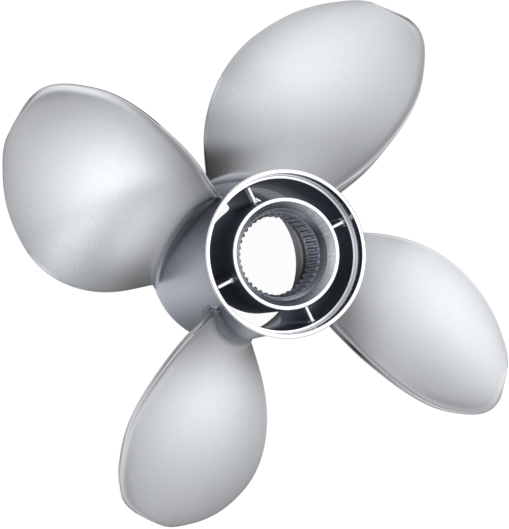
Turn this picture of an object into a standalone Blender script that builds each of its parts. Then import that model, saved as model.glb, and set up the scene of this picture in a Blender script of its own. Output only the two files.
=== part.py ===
# Four-blade left-hand boat propeller with exhaust through its hub, in metres.
# The shaft axis is +Z, with the aft (outlet) end up and the barrel's front face on the floor.
# The barrel is a tapered tube. Four ribs hold the inner hub in it, and the splined ring sits in that hub.

import math

import bpy
import numpy as np

MM = 0.001
GAP = 0.3 * MM  # left between pieces that meet

# Barrel, the outer exhaust tube
LENGTH = 136.1 * MM
FRONT_RADIUS = 60.3 * MM
FRONT_BORE = 54.5 * MM
WAIST_RADIUS = 53.8 * MM
WAIST_BORE = 51.8 * MM
WAIST_HEIGHT = 121.0 * MM
TAPER_BEND = 1.4  # 1 would be a straight cone
FRONT_CHAMFER = 0.8 * MM
COUNTERBORE_HEIGHT = 65.0 * MM  # the machined front part of the bore ends at a step here
COUNTERBORE_TOP = 52.0 * MM
COUNTERBORE_STEP = 1.0 * MM

# Diffuser ring, the flared end of the barrel
LIP_RADIUS = 57.4 * MM
LIP_BORE = 54.4 * MM
LIP_ROUNDING = 0.9 * MM
STEP_OUTSIDE = 53.7 * MM
STEP_DEPTH = 10.6 * MM
FLARE_BEND = 54.9 * MM  # the radius and height that the outer wall would reach if it didn't bend
FLARE_BEND_HEIGHT = 127.5 * MM

# Inner hub, which carries the shaft and ends just inside the lip
HUB_AFT_HEIGHT = 135.0 * MM
HUB_LENGTH = 66.0 * MM
HUB_AFT_RADIUS = 38.3 * MM
HUB_FRONT_RADIUS = 39.4 * MM
HUB_MOUTH = 35.6 * MM
MOUTH_BEND = 31.4 * MM  # the mouth is a steep cone down to here, and then a slender one
MOUTH_BEND_DEPTH = 6.5 * MM
SHOULDER_BORE = 29.4 * MM
SEAT_BORE = 33.4 * MM
SEAT_DEPTH = 14.8 * MM
CONE_BORE = 35.4 * MM
CONE_LENGTH = 12.0 * MM

# Splined ring
SPLINE_TEETH = 40
SPLINE_TIP = 27.2 * MM
SPLINE_ROOT = 29.2 * MM
SPLINE_LENGTH = 22.4 * MM
TOOTH_SHARE = 0.36  # of one pitch, at the tooth's tip
FLANK_SHARE = 0.14  # of one pitch, on each side

# Ribs
RIBS = 4
RIB_TURN = 54.0  # degrees from the first blade's middle line
RIB_THICKNESS = 3.0 * MM
RIB_AFT_DEPTH = 12.0 * MM
RIB_REACH = 15.0 * MM  # how far the front edge sweeps on from the hub's end to the barrel

# Blades: the middle line leans aft, and the face is a left-hand screw surface
BLADES = 4
TIP_RADIUS = 199.0 * MM
ROOT_HEIGHT = 71.8 * MM
RAKE = 32.5 * MM
ROOT_PITCH = 572.0 * MM
TIP_PITCH = 529.0 * MM
ROOT_THICKNESS = 10.5 * MM
TIP_THICKNESS = 2.6 * MM
LEADING_THICKNESS = 1.4 * MM
TRAILING_ROOT_THICKNESS = 4.0 * MM
TRAILING_TIP_THICKNESS = 1.8 * MM
ROOT_CAMBER = 0.0015  # of the chord
MIDDLE_CAMBER = 0.009
TIP_CAMBER = 0.007
CAMBER_BIAS = 0.25  # how far the deepest part moves towards the trailing edge
CUP = 1.4 * MM
CUP_SHARE = 0.07  # of the chord, at the trailing edge

# Radius in millimetres and angle in degrees of the blade's outline, seen from aft. The trailing one is the
# middle of that edge's thickness.
TRAILING_EDGE = [
    (55, -20.6), (80, -21.5), (118, -19.5), (154, -16.0), (176.5, -12.0), (185.7, -10.0), (192.5, -8.0),
    (196.5, -6.0), (198.3, -4.0), (199, -1.5),
]
LEADING_EDGE = [
    (55, 43.6), (94, 41.2), (130, 35.4), (157, 28.0), (171.7, 22.0), (180.2, 18.0), (187.2, 14.0), (193, 10.0),
    (195.8, 8.0), (198, 6.0), (199, 3.6),
]

ROUND_STEPS = 72
BLADE_STATIONS = 17
CHORD_POINTS = 17
TIP_CROWDING = 1.6  # over 1 sets the blade's stations closer together towards the tip


def steel(name, color, roughness):
    material = bpy.data.materials.new(name)
    material.use_nodes = True
    shader = material.node_tree.nodes["Principled BSDF"]
    shader.inputs["Base Color"].default_value = (*color, 1.0)
    shader.inputs["Roughness"].default_value = roughness
    shader.inputs["Metallic"].default_value = 1.0
    return material


def add_mesh(name, points, edges, faces, material):
    mesh = bpy.data.meshes.new(name)
    mesh.from_pydata([tuple(map(float, p)) for p in points], edges, faces)
    mesh.materials.append(material)
    piece = bpy.data.objects.new(name, mesh)
    parts.objects.link(piece)
    return piece


def turned(name, profile, material):
    """A closed profile of (radius, height) turned about the shaft axis, from its outer side's top down."""
    count = len(profile)
    points = [(radius, 0.0, height) for radius, height in profile]
    edges = [(i, (i + 1) % count) for i in range(count)]
    piece = add_mesh(name, points, edges, [], material)
    screw = piece.modifiers.new("Turn", "SCREW")
    screw.axis = "Z"
    screw.angle = 2 * math.pi
    screw.steps = ROUND_STEPS
    screw.render_steps = ROUND_STEPS
    screw.use_merge_vertices = True
    screw.merge_threshold = 0.00001
    screw.use_smooth_shade = True
    return piece


def outline_plate(name, outlines, thickness, material):
    """Closed flat outlines in XY, the later ones holes in the first, extruded both ways from Z = 0."""
    curve = bpy.data.curves.new(name, "CURVE")
    curve.dimensions = "2D"
    curve.fill_mode = "BOTH"
    curve.extrude = thickness / 2
    for outline in outlines:
        spline = curve.splines.new("POLY")
        spline.points.add(len(outline) - 1)
        for point, (x, y) in zip(spline.points, outline):
            point.co = (x, y, 0.0, 1.0)
        spline.use_cyclic_u = True
    curve.materials.append(material)
    piece = bpy.data.objects.new(name, curve)
    parts.objects.link(piece)
    return piece


def barrel_outside(height):
    """The barrel's outer radius at a height above its front face."""
    share = np.clip(1 - height / WAIST_HEIGHT, 0, 1)
    return WAIST_RADIUS + (FRONT_RADIUS - WAIST_RADIUS) * share**TAPER_BEND


def barrel_inside(height):
    above_step = COUNTERBORE_HEIGHT + 0.001 * MM
    heights = [0.0, COUNTERBORE_HEIGHT, above_step, WAIST_HEIGHT]
    radii = [FRONT_BORE, COUNTERBORE_TOP, COUNTERBORE_TOP - COUNTERBORE_STEP, WAIST_BORE]
    return np.interp(height, heights, radii)


def hub_outside(height):
    front = HUB_AFT_HEIGHT - HUB_LENGTH
    return np.interp(height, [front, HUB_AFT_HEIGHT], [HUB_FRONT_RADIUS, HUB_AFT_RADIUS])


def make_barrel(material):
    heights = np.linspace(WAIST_HEIGHT, FRONT_CHAMFER, 7)
    outside = [(barrel_outside(height), height) for height in heights]
    inside = [
        (FRONT_RADIUS - FRONT_CHAMFER, 0.0),
        (FRONT_BORE, 0.0),
        (COUNTERBORE_TOP, COUNTERBORE_HEIGHT),
        (COUNTERBORE_TOP - COUNTERBORE_STEP, COUNTERBORE_HEIGHT),
        (WAIST_BORE, WAIST_HEIGHT),
    ]
    return turned("barrel", outside + inside, material)


def make_diffuser_ring(material):
    """The flare: its outer wall bends out from the waist to a rounded lip, and its mouth narrows to a flat step."""
    bottom = WAIST_HEIGHT + GAP
    lip_center = LENGTH - LIP_ROUNDING
    rounding = [
        (LIP_BORE, LENGTH - LIP_ROUNDING / 2),
        (LIP_BORE + LIP_ROUNDING / 2, LENGTH),
    ] + [
        (LIP_RADIUS - LIP_ROUNDING + LIP_ROUNDING * math.cos(turn), lip_center + LIP_ROUNDING * math.sin(turn))
        for turn in np.radians([90, 45, 0])
    ]
    flare_start = np.array([WAIST_RADIUS, bottom + 0.3 * MM])
    flare_bend = np.array([FLARE_BEND, FLARE_BEND_HEIGHT])
    flare_end = np.array([LIP_RADIUS, lip_center - 0.6 * MM])
    flare = [
        tuple((1 - t) ** 2 * flare_start + 2 * t * (1 - t) * flare_bend + t**2 * flare_end)
        for t in (1.0, 0.75, 0.5, 0.25, 0.0)
    ]
    step = LENGTH - STEP_DEPTH
    mouth = [
        (WAIST_RADIUS, bottom),
        (WAIST_BORE, bottom),
        (WAIST_BORE, step),
        (STEP_OUTSIDE, step),
    ]
    return turned("diffuser_ring", rounding + flare + mouth, material)


def make_inner_hub(material):
    front = HUB_AFT_HEIGHT - HUB_LENGTH
    seat_top = HUB_AFT_HEIGHT - SEAT_DEPTH
    shoulder = seat_top + GAP
    edge = 0.6 * MM
    profile = [
        (HUB_AFT_RADIUS - edge, HUB_AFT_HEIGHT),
        (HUB_AFT_RADIUS, HUB_AFT_HEIGHT - edge),
        (HUB_FRONT_RADIUS, front + edge),
        (HUB_FRONT_RADIUS - edge, front),
        (CONE_BORE, front),
        (SEAT_BORE, front + CONE_LENGTH),
        (SEAT_BORE, shoulder),
        (SHOULDER_BORE, shoulder),
        (MOUTH_BEND, HUB_AFT_HEIGHT - MOUTH_BEND_DEPTH),
        (HUB_MOUTH, HUB_AFT_HEIGHT),
    ]
    return turned("inner_hub", profile, material)


def make_spline_ring(material):
    """A ring with straight-sided teeth inside: each tooth is a tip arc, a flank, a root arc and a flank."""
    pitch = 2 * math.pi / SPLINE_TEETH
    corners = [
        (SPLINE_TIP, -TOOTH_SHARE / 2),
        (SPLINE_TIP, TOOTH_SHARE / 2),
        (SPLINE_ROOT, TOOTH_SHARE / 2 + FLANK_SHARE),
        (SPLINE_ROOT, 1 - TOOTH_SHARE / 2 - FLANK_SHARE),
    ]
    inner = [
        (radius * math.cos((tooth + share) * pitch), radius * math.sin((tooth + share) * pitch))
        for tooth in range(SPLINE_TEETH)
        for radius, share in corners
    ]
    outer_radius = SEAT_BORE - GAP
    turns = [2 * math.pi * step / ROUND_STEPS for step in range(ROUND_STEPS)]
    outer = [(outer_radius * math.cos(turn), outer_radius * math.sin(turn)) for turn in turns]
    ring = outline_plate("spline_ring", [outer, inner], SPLINE_LENGTH, material)
    ring.location.z = HUB_AFT_HEIGHT - SEAT_DEPTH - SPLINE_LENGTH / 2
    return ring


def make_rib(number, material):
    """A radial plate from the inner hub to the barrel, whose front edge sweeps forward to the barrel."""
    aft = HUB_AFT_HEIGHT - RIB_AFT_DEPTH
    hub_end = HUB_AFT_HEIGHT - HUB_LENGTH
    outline = []
    for share in np.linspace(0, 1, 7):
        height = hub_end - RIB_REACH * (0.4 * share + 0.6 * share**3)
        inner = hub_outside(hub_end) + GAP
        outer = barrel_inside(height) - GAP
        outline.append((inner + (outer - inner) * share, height))
    step = COUNTERBORE_HEIGHT + 2 * GAP
    outline += [(COUNTERBORE_TOP - COUNTERBORE_STEP - GAP, COUNTERBORE_HEIGHT - GAP)]
    outline += [(barrel_inside(step) - GAP, step), (barrel_inside(aft) - GAP, aft), (hub_outside(aft) + GAP, aft)]
    rib = outline_plate(f"rib_{number + 1}", [outline], RIB_THICKNESS, material)
    turn = math.radians(RIB_TURN + number * 360 / RIBS)
    rib.rotation_euler = (math.pi / 2, 0.0, turn)
    return rib


def through(stops, radius):
    """A smooth curve through the stops, with the slope at each one taken from its neighbours.

    It runs on the square root of the way to the tip, which rounds the outline off there.
    """
    radii = np.array([stop[0] for stop in stops]) * MM
    angle = np.radians([stop[1] for stop in stops])
    at = -np.sqrt(TIP_RADIUS - radii)
    radius = -np.sqrt(np.maximum(TIP_RADIUS - radius, 0))
    slope = np.gradient(angle, at)
    place = np.clip(np.searchsorted(at, radius, side="right") - 1, 0, len(at) - 2)
    width = at[place + 1] - at[place]
    t = (radius - at[place]) / width
    start, end = 2 * t**3 - 3 * t**2 + 1, 3 * t**2 - 2 * t**3
    lead, follow = t**3 - 2 * t**2 + t, t**3 - t**2
    line = start * angle[place] + end * angle[place + 1]
    return line + width * (lead * slope[place] + follow * slope[place + 1])


def blade_surface(share_out, share_chord, thickness_share):
    """Points of a blade. share_out goes from root to tip and share_chord from leading to trailing edge.

    thickness_share is 0 on the aft face and 1 on the front face. Each section lies on a cylinder about the
    shaft axis, except that the root follows the barrel.
    """
    root = WAIST_RADIUS
    radius = root + (TIP_RADIUS - root) * share_out
    screw = (ROOT_PITCH + (TIP_PITCH - ROOT_PITCH) * share_out**2) / (2 * math.pi)
    slant = np.arctan2(screw, radius)
    trailing_edge = TRAILING_ROOT_THICKNESS + (TRAILING_TIP_THICKNESS - TRAILING_ROOT_THICKNESS) * share_out
    leading = through(LEADING_EDGE, radius)
    trailing = through(TRAILING_EDGE, radius) + trailing_edge / 2 * np.sin(slant) / radius
    angle = leading + (trailing - leading) * share_chord
    chord = (leading - trailing) * np.hypot(radius, screw)

    belly = 4 * share_chord * (1 - share_chord)
    hollow = belly * (1 + CAMBER_BIAS * (2 * share_chord - 1))
    camber = ROOT_CAMBER + (TIP_CAMBER - ROOT_CAMBER) * share_out
    camber += 4 * share_out * (1 - share_out) * (MIDDLE_CAMBER - (ROOT_CAMBER + TIP_CAMBER) / 2)
    edge = LEADING_THICKNESS + (trailing_edge - LEADING_THICKNESS) * share_chord
    middle = TIP_THICKNESS + (ROOT_THICKNESS - TIP_THICKNESS) * (1 - share_out) ** 1.3
    edge = np.minimum(edge, middle)
    thickness = edge + (middle - edge) * belly**0.7
    cup_start = np.clip((share_chord - 1 + CUP_SHARE) / CUP_SHARE, 0, 1)
    offset = CUP * cup_start**2 - camber * chord * hollow - thickness * thickness_share

    height = ROOT_HEIGHT + RAKE * share_out - screw * angle + offset * np.cos(slant)
    turn = angle + offset * np.sin(slant) / radius
    to_barrel = barrel_outside(height) + GAP - root
    radius = radius + to_barrel * (1 - share_out) ** 3
    return np.stack([radius * np.cos(turn), radius * np.sin(turn), height], axis=-1)


def blade_mesh():
    """Rings of points from root to tip, each once around the section, closed at both ends."""
    share_out = 1 - (1 - np.linspace(0, 1, BLADE_STATIONS)) ** TIP_CROWDING
    share_chord = (1 - np.cos(np.linspace(0, math.pi, CHORD_POINTS))) / 2
    out, chord = np.meshgrid(share_out, share_chord, indexing="ij")
    aft = blade_surface(out, chord, 0.0)
    front = blade_surface(out, chord, 1.0)
    rings = np.concatenate([aft, front[:, ::-1]], axis=1)
    around = rings.shape[1]
    faces = []
    for ring in range(BLADE_STATIONS - 1):
        for place in range(around):
            after = (place + 1) % around
            low, high = ring * around, (ring + 1) * around
            faces.append((low + place, low + after, high + after, high + place))
    for place in range(CHORD_POINTS - 1):
        ends = (place, place + 1, around - 2 - place, around - 1 - place)
        last = (BLADE_STATIONS - 1) * around
        faces.append(tuple(reversed(ends)))
        faces.append(tuple(last + end for end in ends))
    mesh = bpy.data.meshes.new("blade")
    mesh.from_pydata([tuple(map(float, p)) for p in rings.reshape(-1, 3)], [], faces)
    mesh.shade_smooth()
    mesh.set_sharp_from_angle(angle=math.radians(40))
    return mesh


def make_blades(material):
    mesh = blade_mesh()
    mesh.materials.append(material)
    for number in range(BLADES):
        blade = bpy.data.objects.new(f"blade_{number + 1}", mesh)
        blade.rotation_euler.z = number * 2 * math.pi / BLADES
        parts.objects.link(blade)


for thing in list(bpy.data.objects):
    bpy.data.objects.remove(thing)

parts = bpy.data.collections.new("ship_propeller")
bpy.context.scene.collection.children.link(parts)
satin_steel = steel("satin_steel", (0.66, 0.67, 0.68), 0.28)
polished_steel = steel("polished_steel", (0.78, 0.78, 0.79), 0.12)
cast_steel = steel("cast_steel", (0.22, 0.23, 0.25), 0.5)
machined_steel = steel("machined_steel", (0.42, 0.43, 0.46), 0.35)

make_barrel(satin_steel)
make_diffuser_ring(polished_steel)
make_inner_hub(machined_steel)
make_spline_ring(machined_steel)
for rib_number in range(RIBS):
    make_rib(rib_number, cast_steel)
make_blades(satin_steel)
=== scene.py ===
# The looks of a four-blade boat propeller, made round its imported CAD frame.
# Everything is in metres with +Z towards the aft end. Lengths in the dictionaries are millimetres.
import math

import bpy
import numpy as np
from mathutils import Matrix, Vector


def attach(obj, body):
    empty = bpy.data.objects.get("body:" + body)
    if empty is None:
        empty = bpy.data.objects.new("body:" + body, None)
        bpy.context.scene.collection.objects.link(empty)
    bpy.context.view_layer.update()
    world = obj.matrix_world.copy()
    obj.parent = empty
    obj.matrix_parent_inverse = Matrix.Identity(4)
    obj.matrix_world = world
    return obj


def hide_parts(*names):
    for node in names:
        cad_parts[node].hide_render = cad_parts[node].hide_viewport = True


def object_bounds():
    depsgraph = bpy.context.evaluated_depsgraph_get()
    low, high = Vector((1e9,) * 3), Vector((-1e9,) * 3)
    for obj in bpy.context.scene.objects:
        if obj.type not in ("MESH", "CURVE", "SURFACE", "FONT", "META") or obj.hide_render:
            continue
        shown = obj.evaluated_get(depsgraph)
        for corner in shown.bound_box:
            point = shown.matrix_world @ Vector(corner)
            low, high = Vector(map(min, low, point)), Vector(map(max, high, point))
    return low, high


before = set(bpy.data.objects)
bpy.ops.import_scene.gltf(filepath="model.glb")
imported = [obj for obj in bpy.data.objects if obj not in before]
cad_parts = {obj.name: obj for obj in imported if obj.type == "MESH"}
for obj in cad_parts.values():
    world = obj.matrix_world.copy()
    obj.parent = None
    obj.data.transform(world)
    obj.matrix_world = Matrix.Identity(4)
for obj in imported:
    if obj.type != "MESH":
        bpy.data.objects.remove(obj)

mm = 0.001
scene = bpy.context.scene
cadBox = [list(corner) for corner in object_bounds()]
propLength = cadBox[1][2] / mm  # along the shaft, front end to aft end
tipRadius = cadBox[1][0] / mm


# Camera: above the aft end and a little to one side, as in the photograph
cameraView = dict(
    place=(295.7, 215.1, 1166.5),
    aim=(2.16, 6.59, 79.9),
    upAzimuth=-63.2,  # degrees about the shaft, the way that the picture's top points
    lens=110.4,
    sensor=36.0,
    clip=(50.0, 50000.0),
)


def makeCamera():
    place = Vector(cameraView["place"]) * mm
    back = (place - Vector(cameraView["aim"]) * mm).normalized()
    azimuth = math.radians(cameraView["upAzimuth"])
    up = Vector((math.cos(azimuth), math.sin(azimuth), 0))
    right = up.cross(back).normalized()
    turned = Matrix((right, back.cross(right), back)).transposed()
    data = bpy.data.cameras.new("photoCamera")
    data.lens = cameraView["lens"]
    data.sensor_width = cameraView["sensor"]
    data.sensor_fit = "AUTO"
    data.clip_start, data.clip_end = [distance * mm for distance in cameraView["clip"]]
    camera = bpy.data.objects.new("photoCamera", data)
    camera.matrix_world = Matrix.Translation(place) @ turned.to_4x4()
    scene.collection.objects.link(camera)
    scene.camera = camera


makeCamera()
print("stage: camera")


# A socket of a shader tree with arithmetic: an expression on wires adds the Math nodes for it
class Wire:
    def __init__(self, tree, node, out=0):
        self.tree, self.node, self.socket = tree, node, node.outputs[out]

    @classmethod
    def add(cls, tree, kind, settings=None, sockets=None, out=0):
        # Any node, from its type, its settings, and the values or wires of its sockets
        node = tree.nodes.new(kind)
        for name, value in (settings or {}).items():
            setattr(node, name, value)
        for name, value in (sockets or {}).items():
            if isinstance(value, Wire):
                tree.links.new(value.socket, node.inputs[name])
            else:
                node.inputs[name].default_value = value
        return cls(tree, node, out) if len(node.outputs) else None

    @classmethod
    def mix(cls, tree, factor, first, second, blend="MIX"):
        # Two colours mixed. Sockets 6 and 7 are the node's colours, and 2 is the mixed one
        settings = {"data_type": "RGBA", "blend_type": blend}
        return cls.add(tree, "ShaderNodeMix", settings, {"Factor": factor, 6: first, 7: second}, 2)

    def other(self, out):
        return Wire(self.tree, self.node, out)

    def math(self, operation, *values):
        return Wire.add(self.tree, "ShaderNodeMath", {"operation": operation}, dict(enumerate(values)))

    def __add__(self, other):
        return self.math("ADD", self, other)

    def __radd__(self, other):
        return self.math("ADD", other, self)

    def __sub__(self, other):
        return self.math("SUBTRACT", self, other)

    def __rsub__(self, other):
        return self.math("SUBTRACT", other, self)

    def __mul__(self, other):
        return self.math("MULTIPLY", self, other)

    def __rmul__(self, other):
        return self.math("MULTIPLY", other, self)

    def __truediv__(self, other):
        return self.math("DIVIDE", self, other)

    def __rtruediv__(self, other):
        return self.math("DIVIDE", other, self)

    def __pow__(self, other):
        return self.math("POWER", self, other)

    def __rpow__(self, other):
        return self.math("POWER", other, self)

    def step(self, low, high):  # for a length: a soft step from 0 at low to 1 at high, both in millimetres
        sockets = {"Value": self, "From Min": low * mm, "From Max": high * mm}
        return Wire.add(self.tree, "ShaderNodeMapRange", {"interpolation_type": "SMOOTHSTEP"}, sockets)


class Finish:
    # A steel finish: its node tree, and the places that its pattern is worked out from
    def __init__(self, name, look):
        self.material = bpy.data.materials.new(name)
        self.material.use_nodes = True
        self.tree, self.look = self.material.node_tree, look
        self.tree.nodes.clear()
        self.place = Wire.add(self.tree, "ShaderNodeTexCoord", out="Object")
        self.x = Wire.add(self.tree, "ShaderNodeSeparateXYZ", None, {"Vector": self.place})
        self.y, self.height = self.x.other("Y"), self.x.other("Z")
        self.radius = (self.x * self.x + self.y * self.y) ** 0.5

    def outward(self):  # one point for each ray from the shaft, so a pattern there makes straight streaks
        sockets = {"X": self.x / self.radius, "Y": self.y / self.radius}
        return Wire.add(self.tree, "ShaderNodeCombineXYZ", None, sockets)

    def meshValue(self, name):  # a value that the piece's mesh carries, or 0 where it has none
        return Wire.add(self.tree, "ShaderNodeAttribute", {"attribute_name": name}, out="Fac")

    def noise(self, size, detail=3.0, place=None, stretch=None):
        # Noise about 0 with blobs of about this size, thinner along an axis that is stretched by more than 1
        place = place or self.place
        if stretch:
            place = Wire.add(self.tree, "ShaderNodeMapping", None, {"Vector": place, "Scale": stretch})
        sockets = {"Vector": place, "Scale": 1 / (size * mm), "Detail": detail, "Roughness": 0.55}
        return Wire.add(self.tree, "ShaderNodeTexNoise", None, sockets) - 0.5

    def finished(self, shade, roughness, bumps, color=None, bumpDepth=0.2):
        # The finish's colour made lighter or darker by the shade, on a metal shader
        sockets = {"Red": shade, "Green": shade, "Blue": shade}
        gray = Wire.add(self.tree, "ShaderNodeCombineColor", None, sockets)
        color = Wire.mix(self.tree, 1.0, color or (*self.look["color"], 1), gray, "MULTIPLY")
        bump = Wire.add(self.tree, "ShaderNodeBump", None, {"Distance": bumpDepth * mm, "Height": bumps})
        sockets = {"Base Color": color, "Metallic": 1.0, "Roughness": roughness, "Normal": bump}
        shader = Wire.add(self.tree, "ShaderNodeBsdfPrincipled", None, sockets)
        Wire.add(self.tree, "ShaderNodeOutputMaterial", None, {"Surface": shader})
        return self.material


# Blades and the barrel's outside: satin polished by hand, cloudy, with fine wheel marks along the shaft.
# The blades' meshes carry a painted sheen, lighter in the middle and darker to the edges, and how finely
# polished they are. The barrel and the fillets on it get a painted shade of darker bluish steel, and both
# keep coarse grinder marks towards the outlet
satinFinish = dict(
    color=(0.735, 0.75, 0.77), roughness=0.27, polish=0.18,
    cloudSize=34.0, cloud=0.06, smudgeSize=9.0, smudge=0.05, waveSize=26.0, wave=0.12,
    markSize=1.4, markStretch=(1.0, 1.0, 0.15), mark=0.02, markBump=0.002,
    # Near the barrel the colour turns to a painted shade, a darker bluish steel standing in for shade
    filletRadius=67.0, filletSoft=9.0, paintedShadeColor=(0.42, 0.45, 0.51), filletDull=0.06,
    grinderSize=1.6, grinderStretch=(1.0, 0.4, 1.6), grinderStart=(92.0, 104.0), grinderEnd=(118.0, 122.0),
    grinderShade=0.5, grinderDull=0.3, grinderBump=0.35,
)


def satinSteel(name, look):
    finish = Finish(name, look)
    cloud, smudge = finish.noise(look["cloudSize"], 2.0), finish.noise(look["smudgeSize"], 4.0)
    wave = finish.noise(look["waveSize"], 1.0)
    marks = finish.noise(look["markSize"], 3.0, stretch=look["markStretch"])
    nearBarrel = 1 - finish.radius.step(look["filletRadius"] - look["filletSoft"], look["filletRadius"])
    ground = nearBarrel * finish.height.step(*look["grinderStart"])
    ground = ground * (1 - finish.height.step(*look["grinderEnd"]))
    grinder = finish.noise(look["grinderSize"], 4.0, stretch=look["grinderStretch"]) * ground
    # Painted shade: near the barrel and on the fillets the colour turns to a darker bluish steel
    color = Wire.mix(finish.tree, nearBarrel, (*look["color"], 1), (*look["paintedShadeColor"], 1))
    # Painted sheen from the blade's mesh value, lighter in the middle of a blade and darker to its edges
    shade = 1 + cloud * look["cloud"] + finish.meshValue("paintedSheen") - grinder * look["grinderShade"]
    roughness = look["roughness"] + smudge * look["smudge"] + marks * look["mark"]
    roughness = roughness + grinder * look["grinderDull"] + nearBarrel * look["filletDull"]
    roughness = roughness - finish.meshValue("polish") * look["polish"]
    bumps = wave * look["wave"] + marks * look["markBump"] + grinder * look["grinderBump"]
    return finish.finished(shade, roughness, bumps, color)


# Turned surfaces: fine tool rings round the shaft, streaks that run outwards, which are partly tool marks and
# partly a painted sheen of the tool rings, and cloudiness. A bore gets painted shade that darkens it towards
# its deep end, from none at the upper height to the deep shade at the lower one
turnedFinish = dict(toolBump=0.3, smudgeBump=0.04, streakDull=0.08, unevenGrooves=2.0)
polishedFinish = dict(
    turnedFinish, color=(0.86, 0.865, 0.87), roughness=0.10, cloud=0.04, cloudSize=20.0, smudge=0.04,
    smudgeSize=6.0, groove=0.02, grooveSize=0.45, streak=0.05, streakCount=260,
)
boredFinish = dict(
    turnedFinish, color=(0.70, 0.73, 0.78), roughness=0.20, cloud=0.05, cloudSize=14.0, smudge=0.05,
    smudgeSize=4.0, groove=0.03, grooveSize=0.45, streak=0.1, streakCount=160,
)
frontBoreFinish = dict(
    turnedFinish, color=(0.80, 0.84, 0.93), roughness=0.36, cloud=0.06, cloudSize=18.0, smudge=0.05,
    smudgeSize=5.0, groove=0.03, grooveSize=0.6, streak=0.12, streakCount=120, paintedDeepShade=0.22,
    paintedShadeHeights=(10.0, 34.0),
)
machinedFinish = dict(
    turnedFinish, color=(0.93, 0.95, 0.98), roughness=0.25, cloud=0.06, cloudSize=14.0, smudge=0.06,
    smudgeSize=3.0, groove=0.05, grooveSize=0.55, streak=0.7, streakCount=180, paintedDeepShade=0.28,
    paintedShadeHeights=(119.0, 134.5),
)
broachedFinish = dict(
    turnedFinish, color=(0.44, 0.48, 0.56), roughness=0.34, cloud=0.16, cloudSize=7.0, smudge=0.14,
    smudgeSize=2.0, groove=0.04, grooveSize=0.45, streak=0.2, streakCount=160, paintedDeepShade=0.7,
    paintedShadeHeights=(100.0, 120.0),
)


def turnedSteel(name, look):
    finish = Finish(name, look)
    cloud, smudge = finish.noise(look["cloudSize"], 2.0), finish.noise(look["smudgeSize"], 3.0)
    streakSize = 2 * math.pi / look["streakCount"] / mm  # the rays' points lie on a circle of 1 m radius
    # The outward streaks are partly tool marks and partly a painted sheen of the tool rings
    streak = finish.noise(streakSize, 5.0, place=finish.outward())
    along = finish.height + finish.radius
    groove = look["grooveSize"] * mm
    tool = along.math("SINE", along * (2 * math.pi / groove))
    sockets = {"W": along, "Scale": 1 / (look["unevenGrooves"] * groove), "Detail": 3.0}
    uneven = Wire.add(finish.tree, "ShaderNodeTexNoise", {"noise_dimensions": "1D"}, sockets) - 0.5
    shade = 1 + cloud * look["cloud"] + streak * look["streak"] + uneven * look["groove"]
    # Painted shade: a bore darkens towards its deep end
    if "paintedShadeHeights" in look:
        lit = finish.height.step(*look["paintedShadeHeights"])
        shade = shade * (look["paintedDeepShade"] + lit * (1 - look["paintedDeepShade"]))
    roughness = look["roughness"] + smudge * look["smudge"] + streak * look["streakDull"]
    bumps = tool * (look["groove"] * look["toolBump"]) + uneven * look["groove"] + smudge * look["smudgeBump"]
    return finish.finished(shade, roughness, bumps)


# Inside of the casting: dark and unpolished, with sandy grain and patches of scale
castFinish = dict(
    color=(0.27, 0.30, 0.36), roughness=0.48, cloudSize=16.0, cloud=0.30, smudgeSize=4.0, smudge=0.12,
    smudgeShade=0.3, smudgeBump=0.2, grainSize=0.8, grain=0.35,
)


def castSteel(name, look):
    finish = Finish(name, look)
    cloud, smudge = finish.noise(look["cloudSize"], 4.0), finish.noise(look["smudgeSize"], 3.0)
    grain = finish.noise(look["grainSize"], 4.0)
    shade = 1 + cloud * look["cloud"] + smudge * look["smudgeShade"]
    roughness = look["roughness"] + smudge * look["smudge"]
    return finish.finished(shade, roughness, grain * look["grain"] + smudge * look["smudgeBump"])


satin = satinSteel("satinSteel", satinFinish)
polished = turnedSteel("polishedSteel", polishedFinish)
bored = turnedSteel("boredSteel", boredFinish)
frontBore = turnedSteel("frontBoreSteel", frontBoreFinish)
machined = turnedSteel("machinedSteel", machinedFinish)
broached = turnedSteel("broachedSteel", broachedFinish)
cast = castSteel("castSteel", castFinish)
print("stage: finishes")


# Mesh helpers
def gridQuads(rows, columns, wrapRows=False, wrapColumns=True):
    # Four corners of each cell of a grid of points that is numbered row by row. The faces look along
    # the way of the columns crossed with the way of the rows
    row = np.arange(rows if wrapRows else rows - 1)
    column = np.arange(columns if wrapColumns else columns - 1)
    row, column = np.meshgrid(row, column, indexing="ij")
    nextRow, nextColumn = (row + 1) % rows, (column + 1) % columns
    corners = [row * columns + column, row * columns + nextColumn]
    corners += [nextRow * columns + nextColumn, nextRow * columns + column]
    return np.stack(corners, axis=-1).reshape(-1, 4)


def tubeQuads(rows, columns):
    # A grid whose rows are closed rings with an even number of points. The first and the last ring are
    # capped by pairing the points on their two sides
    near = np.arange(columns // 2 - 1)
    cap = np.stack([near, near + 1, columns - 2 - near, columns - 1 - near], axis=-1)
    return np.concatenate([gridQuads(rows, columns), cap[:, ::-1], cap + (rows - 1) * columns])


def roundShaft(radius, turn, height):
    # Points from shaft coordinates: x = r cos(turn), y = r sin(turn), z = height
    return np.stack([radius * np.cos(turn), radius * np.sin(turn), height + 0 * turn], axis=-1)


def makePiece(name, node, points, quads, materials, faceMaterial=None, sharp=35, values=None):
    mesh = bpy.data.meshes.new(name)
    mesh.from_pydata((points.reshape(-1, 3) * mm).tolist(), [], quads.tolist())
    for material in materials:
        mesh.materials.append(material)
    if faceMaterial is not None:
        mesh.polygons.foreach_set("material_index", faceMaterial.astype(np.int32))
    for key, value in (values or {}).items():
        mesh.attributes.new(key, "FLOAT", "POINT").data.foreach_set("value", value.ravel().astype(np.float32))
    mesh.shade_smooth()
    mesh.set_sharp_from_angle(angle=math.radians(sharp))
    piece = bpy.data.objects.new(name, mesh)
    scene.collection.objects.link(piece)
    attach(piece, "root")
    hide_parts(node)


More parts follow.
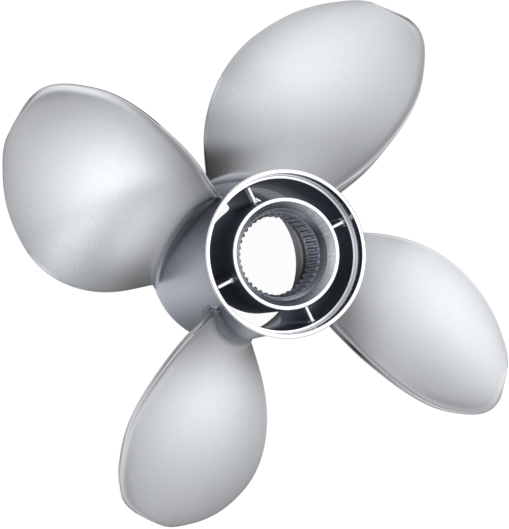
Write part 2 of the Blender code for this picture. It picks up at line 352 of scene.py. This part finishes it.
def roundedProfile(corners, arcPoints=7, spacing=3.0, support=0.3, straight=175):
    # Goes round the corners, which begin with (radius, height, rounding), and turns each into an arc with the
    # rounding as its radius, unless it is straighter than the limit in degrees. An arc is its centre plus
    # the ways to its start and its end, mixed by the sines of their shares of its turn. The stretches between
    # get points at the spacing, and one close to each arc. It also tells which corner each point follows
    place = np.array([corner[:2] for corner in corners], float)
    arcs = []
    for index, corner in enumerate(corners):
        rounding = corner[2]
        before = place[index - 1] - place[index]
        after = place[(index + 1) % len(place)] - place[index]
        before, after = before / np.hypot(*before), after / np.hypot(*after)
        opening = math.acos(np.clip(before @ after, -1, 1))
        if rounding <= 0 or opening > math.radians(straight):
            arcs.append(place[index : index + 1])
            continue
        reach = rounding / math.tan(opening / 2)
        middle = (before + after) / np.hypot(*(before + after))
        center = place[index] + middle * rounding / math.sin(opening / 2)
        start, end = place[index] + before * reach - center, place[index] + after * reach - center
        share = np.linspace(0, 1, arcPoints)[:, None]
        turn = math.acos(np.clip(start @ end / rounding**2, -1, 1))
        arc = np.sin((1 - share) * turn) * start + np.sin(share * turn) * end
        arcs.append(center + arc / math.sin(turn))
    points, follows = [], []
    for index, arc in enumerate(arcs):
        way = arcs[(index + 1) % len(arcs)][0] - arc[-1]
        run = np.hypot(*way)
        between = np.empty((0, 2))
        if run > 4 * support:
            share = np.linspace(support, run - support, max(2, int(run / spacing) + 1)) / run
            between = arc[-1] + share[:, None] * way
        points += [arc, between]
        follows += [index] * (len(arc) + len(between))
    return np.concatenate(points), np.array(follows)


def turnedPiece(name, node, corners, materials, steps=288):
    # A closed profile carried once round the shaft. It runs down the outside and up the inside, and each of
    # its corners, (radius, height, rounding, material), names the material of the stretch after it
    profile, follows = roundedProfile(corners)
    turn = np.linspace(0, 2 * math.pi, steps, endpoint=False)[:, None]
    points = roundShaft(profile[:, 0], turn, profile[:, 1])
    quads = gridQuads(steps, len(profile), wrapRows=True)
    material = np.array([materials.index(corner[3]) for corner in corners])[follows]
    makePiece(name, node, points, quads, materials, np.tile(material, steps))


# Barrel: a tube that widens to the front, rough inside but for its bored front part
barrel = dict(
    frontRadius=60.3, frontBore=54.5, waistRadius=53.8, waistBore=51.8, waistHeight=121.0, taperBend=1.4,
    frontChamfer=0.8, chamferRounding=0.2, boreRounding=0.4, boreStepHeight=65.0, boreStepRadius=52.0,
    boreStep=1.0, stepFoot=0.15, stepNose=0.3, outsidePoints=26,
)
seamHeight = barrel["waistHeight"] + 0.15  # barrel and diffuser ring meet midway between their solids


def barrelOutside(height):
    # Waist radius plus the widening times (1 - height / waist height) to the power of the bend
    share = np.clip(1 - height / barrel["waistHeight"], 0, 1)
    widening = barrel["frontRadius"] - barrel["waistRadius"]
    return barrel["waistRadius"] + widening * share ** barrel["taperBend"]


def barrelInside(height):
    # Straight from the front bore to the step, a jump inwards there, and straight on to the waist bore
    step, narrow = barrel["boreStepHeight"], barrel["boreStepRadius"] - barrel["boreStep"]
    radii = [barrel["frontBore"], barrel["boreStepRadius"], narrow, barrel["waistBore"]]
    return np.interp(height, [0.0, step, step + 0.001, barrel["waistHeight"]], radii)


def makeBarrel():
    look = barrel
    heights = np.linspace(seamHeight, look["frontChamfer"], look["outsidePoints"])
    outside = [(barrelOutside(height), height, 0, satin) for height in heights]
    inside = [
        (look["frontRadius"] - look["frontChamfer"], 0.0, look["chamferRounding"], frontBore),
        (look["frontBore"], 0.0, look["boreRounding"], frontBore),
        (look["boreStepRadius"], look["boreStepHeight"], look["stepFoot"], frontBore),
        (look["boreStepRadius"] - look["boreStep"], look["boreStepHeight"], look["stepNose"], cast),
        (look["waistBore"], seamHeight, 0, cast),
    ]
    turnedPiece("barrel_casting", "barrel", outside + inside, [satin, frontBore, cast])


# Diffuser ring: the flare, its rounded lip, and the bright step inside its mouth
diffuser = dict(
    lipRadius=57.4, lipBore=54.4, lipRounding=0.9, lipLand=0.6, innerRounding=0.4, stepOutside=53.7,
    stepDepth=10.6, stepRounding=0.3, cornerRounding=0.35, wallBend=53.9, wallBendDepth=5.0, flareBend=54.9,
    flareBendHeight=127.5, flarePoints=14,
)


def makeDiffuser():
    # The flare is a curve that leaves the seam and reaches the lip along the lines to its bend, which is
    # (1 - s)^2 seam + 2 s (1 - s) bend + s^2 lip for a share s of the way
    look = diffuser
    seam = np.array([barrel["waistRadius"], seamHeight])
    bend = np.array([look["flareBend"], look["flareBendHeight"]])
    lip = np.array([look["lipRadius"], propLength - look["lipRounding"] - look["lipLand"]])
    share = np.linspace(1, 0, look["flarePoints"])[:, None]
    flare = (1 - share) ** 2 * seam + 2 * share * (1 - share) * bend + share**2 * lip
    step = propLength - look["stepDepth"]
    corners = [
        (look["lipBore"], propLength, look["innerRounding"], polished),
        (look["lipRadius"], propLength, look["lipRounding"], polished),
    ]
    corners += [(radius, height, 0, satin) for radius, height in flare]
    corners += [
        (barrel["waistBore"], seamHeight, 0, cast),
        (barrel["waistBore"], step, look["stepRounding"], polished),
        (look["stepOutside"], step, look["cornerRounding"], bored),
        (look["wallBend"], propLength - look["wallBendDepth"], 0, bored),
    ]
    turnedPiece("outlet_flare", "diffuser_ring", corners, [satin, polished, cast, bored])


# Inner hub: the shaft tube, with a two-stage cone in its mouth
hub = dict(
    aftHeight=135.0, length=66.0, aftRadius=38.3, rimRounding=0.55, frontRadius=39.4, frontRounding=0.6,
    coneBore=35.4, coneRounding=0.5, coneLength=12.0, seatBore=33.4, seatRounding=0.3, seatDepth=14.8,
    seatLift=0.1, shoulderBore=29.4, bend=31.4, bendDepth=6.5, bendRounding=1.2, mouth=35.6,
    mouthRounding=0.45,
)
hubFront = hub["aftHeight"] - hub["length"]


def hubOutside(height):
    # Straight taper from the front radius at the hub's front end to the aft radius
    return hub["frontRadius"] + (hub["aftRadius"] - hub["frontRadius"]) * (height - hubFront) / hub["length"]


def makeHub():
    look = hub
    seatTop = look["aftHeight"] - look["seatDepth"] + look["seatLift"]
    corners = [
        (look["aftRadius"], look["aftHeight"], look["rimRounding"], cast),
        (look["frontRadius"], hubFront, look["frontRounding"], machined),
        (look["coneBore"], hubFront, look["coneRounding"], machined),
        (look["seatBore"], hubFront + look["coneLength"], look["seatRounding"], machined),
        (look["seatBore"], seatTop, 0, machined),
        (look["shoulderBore"], seatTop, 0, machined),
        (look["bend"], look["aftHeight"] - look["bendDepth"], look["bendRounding"], machined),
        (look["mouth"], look["aftHeight"], look["mouthRounding"], polished),
    ]
    turnedPiece("shaft_hub", "inner_hub", corners, [cast, machined, polished])


# Splined ring: the broached teeth run out into the mouth's cone at their aft ends
spline = dict(
    teeth=40, tip=27.2, root=29.25, outside=33.4, length=22.4, lift=0.05, perTooth=20, squareness=2.3,
    runOut=2.6, softCorner=0.1, rounding=0.4, rows=22, rowCrowding=1.5,
)


def makeSpline():
    # Inner radius = middle - half depth * squared-off cosine of the tooth's turn, but never less than the
    # cone that runs from the root radius at the aft end to the tip radius at the end of the run-out
    look = spline
    steps = look["teeth"] * look["perTooth"]
    turn = np.linspace(0, 2 * math.pi, steps, endpoint=False)[:, None]
    middle, half = (look["tip"] + look["root"]) / 2, (look["root"] - look["tip"]) / 2
    wave = np.tanh(look["squareness"] * np.cos(look["teeth"] * turn)) / math.tanh(look["squareness"])
    top = hub["aftHeight"] - hub["seatDepth"] + look["lift"]
    bottom = top - look["length"]
    height = top - (top - bottom) * np.linspace(0, 1, look["rows"]) ** look["rowCrowding"]
    cone = look["root"] + (look["tip"] - look["root"]) * np.clip((top - height) / look["runOut"], 0, 1)
    teeth = middle - half * wave
    inner = (teeth + cone + np.hypot(teeth - cone, look["softCorner"])) / 2  # the larger, with a soft corner
    inner[:, -1:] += look["rounding"]  # at the front end
    outside = look["outside"] + 0 * turn
    topMiddle, bottomMiddle = (outside + inner[:, :1]) / 2, (outside + inner[:, -1:]) / 2
    radius = np.concatenate([outside, outside, topMiddle, inner, bottomMiddle], axis=1)
    height = np.concatenate([[bottom, top, top], height, [bottom]])
    points = roundShaft(radius, turn, height)
    # This profile runs up the outside, so its faces are turned round
    quads = gridQuads(steps, radius.shape[1], wrapRows=True)[:, ::-1]
    makePiece("shaft_splines", "spline_ring", points, quads, [broached], sharp=40)


# Ribs: radial plates between the hub and the barrel, with fillets at both ends
rib = dict(
    count=4, turn=54.0, thickness=3.0, aftDepth=12.0, reach=15.0, reachBend=0.6, overlap=0.03, fillet=2.6,
    aftFillet=0.6, edge=1.2, edgePoints=7, sidePoints=14, stations=40,
)


def filletGrowth(fillet, distance):
    # R - sqrt(R^2 - (R - d)^2) for a fillet of radius R at a distance d from the wall
    left = np.clip(fillet - distance, 0, fillet)
    return fillet - np.sqrt(np.maximum(fillet**2 - left**2, 0))


def makeRib(number):
    # Along the rib the section is a slab with rounded edges. It grows near both walls by the fillet, and its
    # front edge sweeps forward by the reach times a mix of the share of the way out and its cube
    look = rib
    across = (1 - np.cos(np.linspace(0, math.pi, look["stations"]))) / 2
    across = (across * (1 + 2 * look["overlap"]) - look["overlap"])[:, None]
    share = np.clip(across, 0, 1)
    front = hubFront - look["reach"] * ((1 - look["reachBend"]) * share + look["reachBend"] * share**3)
    aft = hub["aftHeight"] - look["aftDepth"] + 0 * share
    inner, outer = hubOutside(front), barrelInside(front)
    radiusFront = inner + (outer - inner) * across
    radiusAft = hubOutside(aft) + (barrelInside(aft) - hubOutside(aft)) * across
    growth = filletGrowth(look["fillet"], radiusFront - inner)
    growth += filletGrowth(look["fillet"], outer - radiusFront)
    half, edge = look["thickness"] / 2 + growth, look["edge"]
    low, high = front - growth, aft + growth * look["aftFillet"]

    # One side of the section: the aft edge's arc, the flat, and the front edge's arc
    quarter = np.radians(np.linspace(0, 90, look["edgePoints"]))
    flat = np.linspace(0, 1, look["sidePoints"] + 2)[1:-1]
    arcSides = half - edge + edge * np.cos(quarter)
    sides = np.concatenate([arcSides[:, ::-1], half + 0 * flat, arcSides], axis=1)
    heights = np.concatenate([
        high - edge + edge * np.sin(quarter[::-1]),
        high - edge - (high - low - 2 * edge) * flat,
        low + edge - edge * np.sin(quarter),
    ], axis=1)
    sides = np.concatenate([-sides, sides[:, ::-1]], axis=1)
    heights = np.concatenate([heights, heights[:, ::-1]], axis=1)

    radius = radiusFront + (radiusAft - radiusFront) * (heights - front) / (aft - front)
    angle = math.radians(look["turn"] + number * 360 / look["count"])
    x = radius * math.cos(angle) - sides * math.sin(angle)
    y = radius * math.sin(angle) + sides * math.cos(angle)
    rows, columns = sides.shape
    quads = tubeQuads(rows, columns)
    column = quads.min(axis=1) % columns
    aftEdge = np.minimum(column, columns - 2 - column) < look["edgePoints"]
    points = np.stack([x, y, heights], axis=-1)
    name, node = f"hub_rib_{number + 1}", f"rib_{number + 1}"
    makePiece(name, node, points, quads, [cast, polished], aftEdge)


# Blades: left-hand screw surfaces that lean aft, cast with fillets at the root. The edges are stops of
# (radius, degrees) seen from aft. The painted sheen makes the middle of each blade lighter and its edges
# darker, and polish is where hand work has left the steel shinier
blade = dict(
    count=4, rootHeight=71.8, rake=32.5, rootPitch=572.0, tipPitch=529.0,
    rootThickness=10.5, tipThickness=2.6, thinning=1.3, fullness=0.7, leadingThickness=1.4,
    trailingRoot=4.1, trailingTip=2.8, trailingNarrow=3.0, narrowShare=0.14,
    rootCamber=0.0015, middleCamber=0.009, tipCamber=0.007, camberBias=0.25, cup=1.0, cupWidth=6.0,
    noseRounding=0.9, cornerRounding=0.8, cornerShare=0.4, tipRounding=1.0, tipSweep=(84.0, 12.0),
    fillet=8.0, endFillet=3.0, fulledBelly=1.5, buried=0.5, frontClearance=0.2,
    nosePoints=9, chordPoints=84, cornerPoints=6, edgePoints=3,
    filletRows=16, rows=130, rowCrowding=1.9, tipRows=6,
    # Painted sheen: the centre's lift, where it sits along the blade, and how much it darkens along and
    # across
    paintedSheenCenter=0.24, paintedSheenMiddle=0.55, paintedSheenAlong=0.42, paintedSheenAcross=0.30,
    nosePolish=2.0, rootPolish=0.45, rootPolishBack=(0.15, 0.45), rootPolishOut=(0.18, 0.38),
    trailingEdge=[
        (55, -20.6), (80, -21.5), (118, -19.5), (154, -16.0), (176.5, -12.0), (185.7, -10.0), (192.5, -8.0),
        (196.5, -6.0), (198.3, -4.0), (199, -1.5),
    ],
    leadingEdge=[
        (55, 43.6), (94, 41.2), (130, 35.4), (157, 28.0), (171.7, 22.0), (180.2, 18.0), (187.2, 14.0),
        (193, 10.0), (195.8, 8.0), (198, 6.0), (199, 3.6),
    ],
)


def through(stops, radius):
    # A smooth curve through stops of (radius, degrees), with each slope taken from the stop's neighbours.
    # It runs on the square root of the way to the tip, which rounds the outline off there
    angle = np.radians([stop[1] for stop in stops])
    at = -np.sqrt(np.maximum(tipRadius - np.array([stop[0] for stop in stops]), 0))
    radius = -np.sqrt(np.maximum(tipRadius - radius, 0))
    slope = np.gradient(angle, at)
    place = np.clip(np.searchsorted(at, radius, side="right") - 1, 0, len(at) - 2)
    width = at[place + 1] - at[place]
    t = (radius - at[place]) / width
    start, end = 2 * t**3 - 3 * t**2 + 1, 3 * t**2 - 2 * t**3
    lead, follow = t**3 - 2 * t**2 + t, t**3 - t**2
    line = start * angle[place] + end * angle[place + 1]
    return line + width * (lead * slope[place] + follow * slope[place + 1])


def bladeStations():
    # Shares of the way out: even steps round the root fillet's arc, then closer and closer to the tip, and
    # even steps round the tip's own arc. The second list is the part of the thickness that is left there
    look = blade
    reach = tipRadius - barrel["waistRadius"]
    sweep = np.radians(np.linspace(90, 0, look["filletRows"]))
    inFillet = look["fillet"] * (1 - np.sin(sweep)) / reach
    tipTurn = np.radians(np.linspace(*look["tipSweep"], look["tipRows"]))
    atTip = 1 - look["tipRounding"] * (1 - np.cos(tipTurn)) / reach
    spread = 1 - (1 - np.linspace(0, 1, look["rows"] + 2)[1:-1]) ** look["rowCrowding"]
    middle = inFillet[-1] + (atTip[0] - inFillet[-1]) * spread
    share = np.concatenate([[-look["buried"] / reach], inFillet, middle, atTip])
    left = np.concatenate([np.ones(len(share) - look["tipRows"]), np.sin(tipTurn)])
    return share[:, None], left[:, None]


def bladeEdges(radius, share, slant):
    # The leading edge's angle, the trailing edge's angle and thickness, and how far the trailing edge runs
    # back for each millimetre outwards. The thickness changes evenly from root to tip, less a part near the
    # root that fades with the square of the share left
    look = blade
    thickness = look["trailingRoot"] + (look["trailingTip"] - look["trailingRoot"]) * share
    thickness -= look["trailingNarrow"] * np.clip(1 - share / look["narrowShare"], 0, 1) ** 2
    leading = through(look["leadingEdge"], radius)
    trailing = through(look["trailingEdge"], radius) + thickness / 2 * np.sin(slant) / radius
    run = radius * np.gradient(trailing[:, 0], radius[:, 0])[:, None]
    return leading, trailing, thickness, run


def bladeSections(share, left, chord, trailingThickness, run):
    # One closed section a row, as distance back from the leading edge and height off the screw surface.
    # The aft face is the cup less the camber, and the front face lies the thickness below it. The nose is a
    # quarter ellipse on each face, and the trailing edge is square with its corners rounded.
    # Belly = 4 p (1 - p) for the part p of the chord. Thickness = the edge's, which changes evenly between
    # the two edges, plus what the middle has more times belly to the power of the fullness.
    # Camber = its share of the chord * belly * (1 + bias * (2 p - 1)). Cup = its height * (1 - d / width)^2
    # for a distance d from the trailing edge
    look = blade
    nose = look["noseRounding"]
    corner = np.minimum(look["cornerRounding"], look["cornerShare"] * trailingThickness) * left
    noseTurn = np.radians(np.linspace(0, 90, look["nosePoints"]))
    cornerTurn = np.radians(np.linspace(90, 0, look["cornerPoints"]))
    inner = (1 - np.cos(np.linspace(0, math.pi, look["chordPoints"] + 2)[1:-1])) / 2
    lead = np.concatenate([np.sin(noseTurn), np.ones(len(inner) + look["cornerPoints"])])
    drop = np.concatenate([np.zeros(look["nosePoints"] + len(inner)), 1 - np.sin(cornerTurn)]) * corner
    back = np.concatenate([
        nose * (1 - np.cos(noseTurn)) + 0 * chord,
        nose + (chord - nose - corner) * inner,
        chord - corner * (1 - np.cos(cornerTurn)),
    ], axis=1)
    part = np.clip(back / chord, 0, 1)
    belly = 4 * part * (1 - part)

    thinned = (1 - np.clip(share, 0, 1)) ** look["thinning"]
    middle = look["tipThickness"] + (look["rootThickness"] - look["tipThickness"]) * thinned
    edge = look["leadingThickness"] + (trailingThickness - look["leadingThickness"]) * part
    edge = np.minimum(edge, middle)
    thickness = edge + (middle - edge) * belly ** look["fullness"]
    # The cup's width is measured square to the trailing edge, however that edge runs
    cupPart = np.clip(1 - (chord - back) / np.hypot(1, run) / look["cupWidth"], 0, 1)
    camber = look["rootCamber"] + (look["tipCamber"] - look["rootCamber"]) * share
    camber += 4 * share * (1 - share) * (look["middleCamber"] - (look["rootCamber"] + look["tipCamber"]) / 2)
    hollow = belly * (1 + look["camberBias"] * (2 * part - 1))
    face = look["cup"] * cupPart**2 - camber * chord * hollow
    center, half = face - thickness / 2, thickness / 2 * lead * left
    aft, front = center + half - drop, center - half + drop

    # The ring runs from the nose over the aft face, down the trailing edge and back under the front face.
    # It also has the way that is out at each of its points
    downEdge = np.linspace(0, 1, look["edgePoints"] + 2)[1:-1]
    edgeHeight = aft[:, -1:] + (front[:, -1:] - aft[:, -1:]) * downEdge
    back = np.concatenate([back, back[:, -1:] + 0 * downEdge, back[:, :0:-1]], axis=1)
    lift = np.concatenate([aft, edgeHeight, front[:, :0:-1]], axis=1)
    out = np.concatenate([math.pi - noseTurn, np.full(len(inner), math.pi / 2), cornerTurn])
    out = np.concatenate([out, 0 * downEdge, -out[:0:-1]])
    belly = np.concatenate([belly, 0 * edgeHeight, belly[:, :0:-1]], axis=1)
    return back, lift, out, belly


def fading(value, stops):
    # 1 below the first stop, and straight down to 0 at the second
    return np.clip((stops[1] - value) / (stops[1] - stops[0]), 0, 1)


def paintedSheenAndPolish(share, back, chord, run):
    # Painted sheen = the centre's value less shares of the squared ways along and across the blade, so the
    # middle is lighter and the edges darker.
    # Polish = 1 up to the cup's width from the trailing edge and up to the nose's polish from the leading
    # edge, and 0 from twice that on. The leading root has a part of it, which fades back and outwards
    look = blade
    part = np.clip(back / chord, 0, 1)
    along, across = 2 * (share - look["paintedSheenMiddle"]), 2 * part - 1
    paintedSheen = look["paintedSheenCenter"] - look["paintedSheenAlong"] * along**2 - look["paintedSheenAcross"] * across**2
    fromTrailing = (chord - back) / np.hypot(1, run) / look["cupWidth"]
    edges = 2 - np.minimum(fromTrailing, back / look["nosePolish"])
    root = np.minimum(fading(part, look["rootPolishBack"]), fading(share, look["rootPolishOut"]))
    return {"paintedSheen": paintedSheen, "polish": np.clip(np.maximum(edges, look["rootPolish"] * root), 0, 1)}


def bladeGrid():
    # Wraps the sections round the shaft. A point's angle is the leading edge's, less its way back round the
    # shaft, and its height is that of a left-hand screw there, plus the rake. Its lift is square to the
    # screw. The pitch changes with the square of the share. The root's radius follows the barrel's taper,
    # which fades with the cube of the share left. Near the barrel each point moves out by the fillet
    look = blade
    share, left = bladeStations()
    radius = barrel["waistRadius"] + (tipRadius - barrel["waistRadius"]) * share
    screw = (look["rootPitch"] + (look["tipPitch"] - look["rootPitch"]) * share**2) / (2 * math.pi)
    slant = np.arctan2(screw, radius)
    leading, trailing, trailingThickness, run = bladeEdges(radius, share, slant)
    chord = (leading - trailing) * np.hypot(radius, screw)
    back, lift, out, belly = bladeSections(share, left, chord, trailingThickness, run)

    def wrapped(back, lift):
        angle = leading - back * np.cos(slant) / radius
        height = look["rootHeight"] + look["rake"] * share - screw * angle + lift * np.cos(slant)
        turn = angle + lift * np.sin(slant) / radius
        lifted = radius + (barrelOutside(height) - barrel["waistRadius"]) * (1 - share) ** 3
        return lifted, turn, height

    lifted, turn, height = wrapped(back, lift)
    above = np.clip(lifted - barrelOutside(height), 0, None)
    full = np.clip(belly * look["fulledBelly"], 0, 1)
    growth = filletGrowth(look["endFillet"] + (look["fillet"] - look["endFillet"]) * full, above)
    lifted, turn, height = wrapped(back + np.cos(out) * growth, lift + np.sin(out) * growth)
    height = np.maximum(height, look["frontClearance"])  # the fillet stops at the barrel's front end
    return lifted, turn, height, paintedSheenAndPolish(share, back, chord, run)


def makeBlades():
    radius, turn, height, values = bladeGrid()
    quads = tubeQuads(*radius.shape)
    for number in range(blade["count"]):
        points = roundShaft(radius, turn + number * 2 * math.pi / blade["count"], height)
        name, node = f"screw_blade_{number + 1}", f"blade_{number + 1}"
        makePiece(name, node, points, quads, [satin], sharp=50, values=values)


makeBarrel()
makeDiffuser()
makeHub()
makeSpline()
print("stage: hub and barrel")
for ribNumber in range(rib["count"]):
    makeRib(ribNumber)
makeBlades()
print("stage: ribs and blades")


# Studio: a pale floor, and soft light from wide lamps all round
studio = dict(
    floorSize=6000.0, floorDrop=0.2, floorGlow=0.96, floorColor=0.12, tint=(1.03, 1.035, 1.045), lampWidth=17,
    # Azimuth and elevation in degrees, and strength: high over the part, all round it, and below it
    lamps=[
        (35, 80, 0.85), (160, 70, 0.60), (-150, 60, 1.25), (-10, 55, 0.35), (-95, 50, 1.00), (40, 45, 0.80),
        (180, 45, 0.60), (-45, 40, 0.60), (10, 35, 0.45),
        (145, 30, 0.40), (-75, 30, 0.60), (-25, 25, 0.20), (-160, 25, 0.20), (115, 20, 1.00), (30, 15, 0.15),
        (-55, 15, 0.40), (-140, 10, 0.25), (-5, 5, 0.30), (-90, 5, 0.55), (135, 5, 0.65), (-175, 0, 0.55),
        (100, -5, 0.30), (-120, -5, 0.50), (15, -10, 0.75), (-155, -15, 0.75), (-15, -20, 0.55),
        (120, -20, 0.15),
        (-50, -30, 1.95), (90, -30, 0.40), (140, -40, 0.60), (55, -45, 2.00), (-165, -45, 0.40),
    ],
)


def makeWorld():
    # The light is the sum over the lamps of strength * exp(narrowness * (cosine of the way to the lamp - 1)),
    # which falls to half at the lamp's width
    world = bpy.data.worlds.new("studioLight")
    scene.world = world
    world.use_nodes = True
    tree = world.node_tree
    tree.nodes.clear()
    toward = Wire.add(tree, "ShaderNodeTexCoord", out="Generated")
    narrowness = math.log(2) / (1 - math.cos(math.radians(studio["lampWidth"])))
    light = 0.0
    for azimuth, elevation, strength in studio["lamps"]:
        a, e = math.radians(azimuth), math.radians(elevation)
        center = (math.cos(a) * math.cos(e), math.sin(a) * math.cos(e), math.sin(e))
        sockets = {0: toward, 1: center}
        facing = Wire.add(tree, "ShaderNodeVectorMath", {"operation": "DOT_PRODUCT"}, sockets, "Value")
        light = facing.math("EXPONENT", (facing - 1) * narrowness) * strength + light
    red, green, blue = (light * share for share in studio["tint"])
    color = Wire.add(tree, "ShaderNodeCombineColor", None, {"Red": red, "Green": green, "Blue": blue})
    # The camera sees a plain white backdrop in place of the lamps
    seen = Wire.add(tree, "ShaderNodeLightPath", out="Is Camera Ray")
    color = Wire.mix(tree, seen, color, (1, 1, 1, 1))
    background = Wire.add(tree, "ShaderNodeBackground", None, {"Color": color})
    Wire.add(tree, "ShaderNodeOutputWorld", None, {"Surface": background})


def makeFloor():
    ends = np.array([-1, 1]) * studio["floorSize"]
    x, y = np.meshgrid(ends, ends, indexing="ij")
    points = np.stack([x, y, 0 * x - studio["floorDrop"]], axis=-1).reshape(-1, 3) * mm
    mesh = bpy.data.meshes.new("studioFloor")
    mesh.from_pydata(points.tolist(), [], gridQuads(2, 2, wrapColumns=False)[:, ::-1].tolist())
    material = bpy.data.materials.new("paleFloor")
    material.use_nodes = True
    tree = material.node_tree
    tree.nodes.clear()
    gray = studio["floorColor"]
    sockets = {"Base Color": (gray, gray, gray, 1), "Roughness": 0.9, "Specular IOR Level": 0.0}
    sockets.update({"Emission Color": (1, 1, 1, 1), "Emission Strength": studio["floorGlow"]})
    shader = Wire.add(tree, "ShaderNodeBsdfPrincipled", None, sockets)
    Wire.add(tree, "ShaderNodeOutputMaterial", None, {"Surface": shader})
    mesh.materials.append(material)
    floor = bpy.data.objects.new("studioFloor", mesh)
    floor.visible_glossy = False
    floor.visible_shadow = False
    scene.collection.objects.link(floor)


makeWorld()
makeFloor()
scene.view_settings.view_transform = "Standard"
print("stage: studio")
